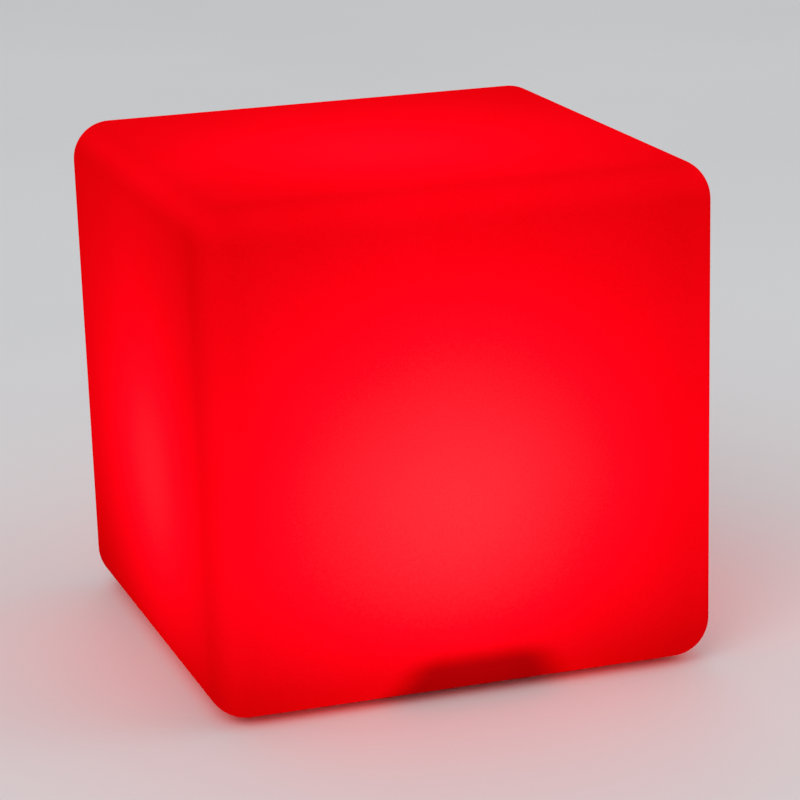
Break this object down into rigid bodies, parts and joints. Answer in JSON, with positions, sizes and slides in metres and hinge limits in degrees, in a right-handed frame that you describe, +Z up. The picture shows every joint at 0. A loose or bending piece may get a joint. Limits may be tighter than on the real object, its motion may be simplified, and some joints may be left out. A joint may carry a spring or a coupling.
{
  "type": "floating pool light",
  "caption": "Waterproof floating cube light: glowing rounded plastic cube that unscrews from a sealed battery lamp module in its underside.",
  "frame": {"origin": "centre of the underside, level with the bottom of the foot pads", "axes": "+Z up; -Y towards the front face, behind which the receiver pod stands; +X to the right of the front face"},
  "size_m": [0.2028, 0.2028, 0.197],
  "materials": {
    "shell_plastic": "milky rotomoulded polyethylene, shown glowing red from inside, satin with fine grain",
    "collar_plastic": "white moulded nylon",
    "base_plastic": "light grey moulded ABS with fine texture",
    "deck_plastic": "white moulded ABS",
    "dome_plastic": "frosted polycarbonate",
    "clamp_plastic": "grey moulded plastic",
    "black_plastic": "black moulded plastic",
    "seal_rubber": "dark silicone rubber",
    "pad_rubber": "grey rubber",
    "button_plastic": "dark grey satin plastic",
    "screw_steel": "stainless steel",
    "spring_steel": "stainless spring wire",
    "insert_brass": "turned brass",
    "spreader_aluminium": "plain aluminium",
    "led_board_white": "white solder mask",
    "led_package_white": "white ceramic-filled plastic",
    "led_lens_red": "clear resin lit red",
    "board_green": "green solder mask",
    "chip_black": "moulded epoxy",
    "capacitor_sleeve": "dark blue sleeve",
    "connector_white": "natural nylon",
    "wire_insulation": "soft insulation",
    "cell_wrap": "shrink-wrapped cell",
    "contact_nickel": "nickel plating",
    "clear_acrylic": "clear acrylic"
  },
  "bodies": {
    "lamp_module": {"base_housing": "base_plastic", "deck_cover": "deck_plastic", "deck_seal": "seal_rubber", "deck_screws": "screw_steel", "lamp_dome": "dome_plastic", "dome_seal": "seal_rubber", "dome_ring": "clamp_plastic", "dome_screws": "screw_steel", "heat_spreader": "spreader_aluminium", "led_board": "led_board_white", "led_packages": "led_package_white", "led_lenses": "led_lens_red", "led_board_screws": "screw_steel", "led_socket": "connector_white", "led_harness": "wire_insulation", "harness_plug": "connector_white", "battery_cell": "cell_wrap", "cell_terminal": "contact_nickel", "battery_holder": "black_plastic", "battery_contacts": "contact_nickel", "battery_strap": "black_plastic", "battery_leads": "wire_insulation", "battery_plug": "connector_white", "control_board": "board_green", "board_screws": "screw_steel", "controller_chip": "chip_black", "driver_transistors": "chip_black", "inductor": "chip_black", "capacitors": "capacitor_sleeve", "indicator_led": "led_package_white", "light_pipe": "clear_acrylic", "receiver_pins": "contact_nickel", "receiver_board": "board_green", "receiver_eye": "black_plastic", "jack_seal": "seal_rubber", "charge_jack": "black_plastic", "jack_contact": "contact_nickel", "door_pin": "screw_steel", "button_spring": "spring_steel", "button_retainer": "black_plastic", "retainer_screws": "screw_steel", "tact_switch": "black_plastic"},
    "main_seal": {"main_gasket": "seal_rubber"},
    "shell": {"cube_shell": "shell_plastic", "boss_inserts": "insert_brass", "foot_pads": "pad_rubber", "collar_gasket": "seal_rubber", "thread_collar": "collar_plastic", "collar_screws": "screw_steel"},
    "power_button": {"button_cap": "button_plastic", "switch_plunger": "connector_white"},
    "charge_door": {"port_door": "button_plastic", "port_plug": "seal_rubber"}
  },
  "joints": [
    {"name": "shell_unscrew", "type": "hinge", "parent": "lamp_module", "child": "main_seal", "pos_m": [0, 0, 0], "axis": [0, 0, 1], "range_deg": [0, 1440]},
    {"name": "shell_lift", "type": "slide", "parent": "main_seal", "child": "shell", "axis": [0, 0, 1], "range_m": [0, 0.06]},
    {"name": "power_button_press", "type": "slide", "parent": "lamp_module", "child": "power_button", "axis": [0, 0, 1], "range_m": [0, 0.001], "stiffness_N_per_m": 1200, "springref_m": -0.0015, "deforming": ["button_spring"]},
    {"name": "charge_door_hinge", "type": "hinge", "parent": "lamp_module", "child": "charge_door", "pos_m": [-0.015, -0.0234, 0.004], "axis": [1, 0, 0], "range_deg": [0, 90]}
  ],
  "couplings": [
    {"joint": "shell_lift", "follows": "shell_unscrew", "m_per_rad": 0.0023873}
  ]
}
